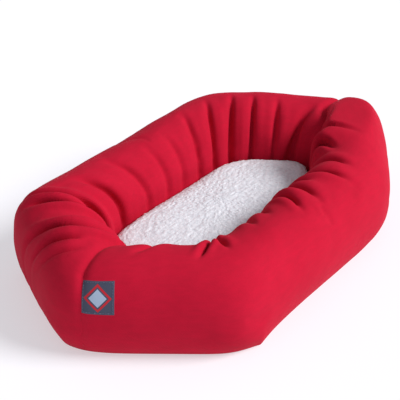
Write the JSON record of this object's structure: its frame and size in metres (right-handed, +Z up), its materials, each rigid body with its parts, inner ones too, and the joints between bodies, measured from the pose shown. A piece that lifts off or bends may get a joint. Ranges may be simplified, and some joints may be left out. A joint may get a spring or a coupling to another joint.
{
  "type": "bolster pet bed",
  "caption": "Oval stuffed pet bed: a red twill bolster ring round a white fleece-topped sleeping pad, sewn to one base cloth, with a square woven label and a hinged care tag.",
  "frame": {"origin": "on the floor, under the middle of the bed", "axes": "+Z up, +X along the bed away from the end with the label, +Y across the bed towards the side opposite the label's corner"},
  "size_m": [0.812, 0.489, 0.178],
  "materials": {
    "base_cloth": "plain-woven coated polyester, dark red",
    "red_twill": "poly-cotton twill, bright red, matt",
    "fibre_filling": "loose polyester fibre, white",
    "white_fleece": "knitted fleece with a short dense curled pile, white",
    "red_thread": "spun polyester sewing thread, red",
    "label_weave": "woven damask label, slate grey with a pale lozenge in a red frame",
    "label_thread": "spun polyester sewing thread, slate grey",
    "tag_tape": "plain woven tape, off-white, blank"
  },
  "bodies": {
    "bed": {"base_panel": "base_cloth", "bolster_cover_right": "red_twill", "bolster_cover_left": "red_twill", "bolster_filling": "fibre_filling", "fleece_top": "white_fleece", "pad_filling": "fibre_filling", "outer_seam_stitching": "red_thread", "inner_seam_stitching": "red_thread", "front_join_stitching": "red_thread", "rear_join_stitching": "red_thread", "fill_opening_stitching": "red_thread", "woven_label": "label_weave", "label_stitching": "label_thread"},
    "tag": {"care_tag": "tag_tape"}
  },
  "joints": [
    {"name": "care_tag_flap", "type": "hinge", "parent": "bed", "child": "tag", "pos_m": [0.24832, 0.18079, 0.00085], "axis": [0.7286, -0.685, 0], "range_deg": [0, 55]}
  ]
}
